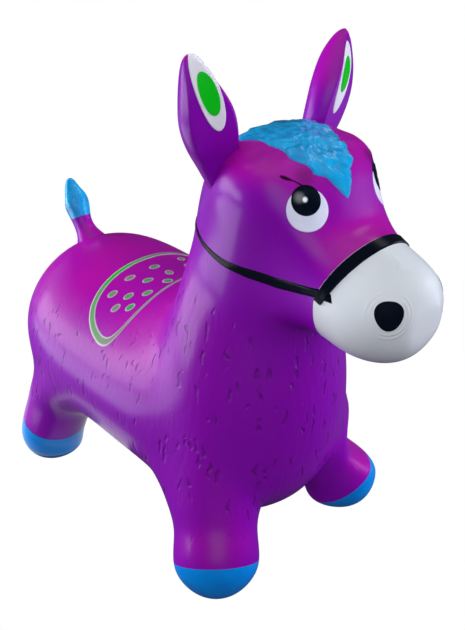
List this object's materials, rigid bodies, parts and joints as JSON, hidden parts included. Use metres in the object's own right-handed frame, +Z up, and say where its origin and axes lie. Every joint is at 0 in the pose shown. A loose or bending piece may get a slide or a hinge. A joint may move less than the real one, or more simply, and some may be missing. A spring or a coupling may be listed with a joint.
{
  "type": "inflatable bouncy ride-on animal",
  "caption": "Hollow rubber ride-on animal with splayed legs, hooves, white muzzle, bridle, upright ears, short tail and a belly air valve.",
  "frame": {"origin": "on the floor under the middle of the animal's bounding box", "axes": "+X toward the animal's muzzle, +Y toward its left side, +Z up"},
  "size_m": [0.5013, 0.2696, 0.4998],
  "materials": {
    "purple_skin": "glossy soft vinyl, moulded fur relief",
    "blue_skin": "glossy soft vinyl",
    "white_skin": "glossy soft vinyl",
    "green_paint": "sprayed paint, satin",
    "black_paint": "sprayed paint, glossy",
    "valve_plastic": "soft moulded plastic, satin"
  },
  "bodies": {
    "torso": {"torso_skin": "purple_skin", "saddle_edging": "green_paint", "valve_seat": "valve_plastic"},
    "neck_head": {"head_skin": "purple_skin", "muzzle": "white_skin", "nostril_right": "black_paint", "nostril_left": "black_paint", "eye_white_right": "white_skin", "eye_white_left": "white_skin", "eye_pupil_right": "black_paint", "eye_pupil_left": "black_paint", "eyelash_right": "black_paint", "eyelash_left": "black_paint", "noseband": "black_paint", "cheek_strap": "black_paint", "forelock": "blue_skin"},
    "ear_right": {"ear_skin_right": "purple_skin", "ear_white_right": "white_skin", "ear_green_right": "green_paint"},
    "ear_left": {"ear_skin_left": "purple_skin", "ear_white_left": "white_skin", "ear_green_left": "green_paint"},
    "tail": {"tail_root": "purple_skin", "tail_tip": "blue_skin"},
    "leg_front_right": {"leg_front_right": "purple_skin", "hoof_front_right": "blue_skin"},
    "leg_front_left": {"leg_front_left": "purple_skin", "hoof_front_left": "blue_skin"},
    "leg_rear_right": {"leg_rear_right": "purple_skin", "hoof_rear_right": "blue_skin"},
    "leg_rear_left": {"leg_rear_left": "purple_skin", "hoof_rear_left": "blue_skin"},
    "valve_plug": {"valve_plug": "valve_plastic"}
  },
  "joints": [
    {"name": "neck_nod", "type": "hinge", "parent": "torso", "child": "neck_head", "pos_m": [0.078, 0, 0.292], "axis": [0, 1, 0], "range_deg": [-6, 8], "stiffness_Nm_per_rad": 30},
    {"name": "ear_right_flop", "type": "hinge", "parent": "neck_head", "child": "ear_right", "pos_m": [0.079, -0.0565, 0.406], "axis": [0.3746, 0.9272, 0], "range_deg": [-20, 3], "stiffness_Nm_per_rad": 1},
    {"name": "ear_left_flop", "type": "hinge", "parent": "neck_head", "child": "ear_left", "pos_m": [0.079, 0.0565, 0.406], "axis": [-0.3746, 0.9272, 0], "range_deg": [-20, 3], "stiffness_Nm_per_rad": 1},
    {"name": "tail_flop", "type": "hinge", "parent": "torso", "child": "tail", "pos_m": [-0.212, 0, 0.24], "axis": [0, 1, 0], "range_deg": [-20, 20], "stiffness_Nm_per_rad": 1},
    {"name": "leg_front_right_splay", "type": "hinge", "parent": "torso", "child": "leg_front_right", "pos_m": [0.10468, -0.08846, 0.044], "axis": [-0.6459, -0.7634, 0], "range_deg": [-4, 10], "stiffness_Nm_per_rad": 8},
    {"name": "leg_front_left_splay", "type": "hinge", "parent": "torso", "child": "leg_front_left", "pos_m": [0.10468, 0.08846, 0.044], "axis": [0.6459, -0.7634, 0], "range_deg": [-4, 10], "stiffness_Nm_per_rad": 8},
    {"name": "leg_rear_right_splay", "type": "hinge", "parent": "torso", "child": "leg_rear_right", "pos_m": [-0.17894, -0.0949, 0.044], "axis": [-0.9095, 0.4158, 0], "range_deg": [-4, 10], "stiffness_Nm_per_rad": 8},
    {"name": "leg_rear_left_splay", "type": "hinge", "parent": "torso", "child": "leg_rear_left", "pos_m": [-0.17894, 0.0949, 0.044], "axis": [0.9095, 0.4158, 0], "range_deg": [-4, 10], "stiffness_Nm_per_rad": 8},
    {"name": "valve_plug_pull", "type": "slide", "parent": "torso", "child": "valve_plug", "axis": [0, 0, -1], "range_m": [0, 0.025]}
  ]
}
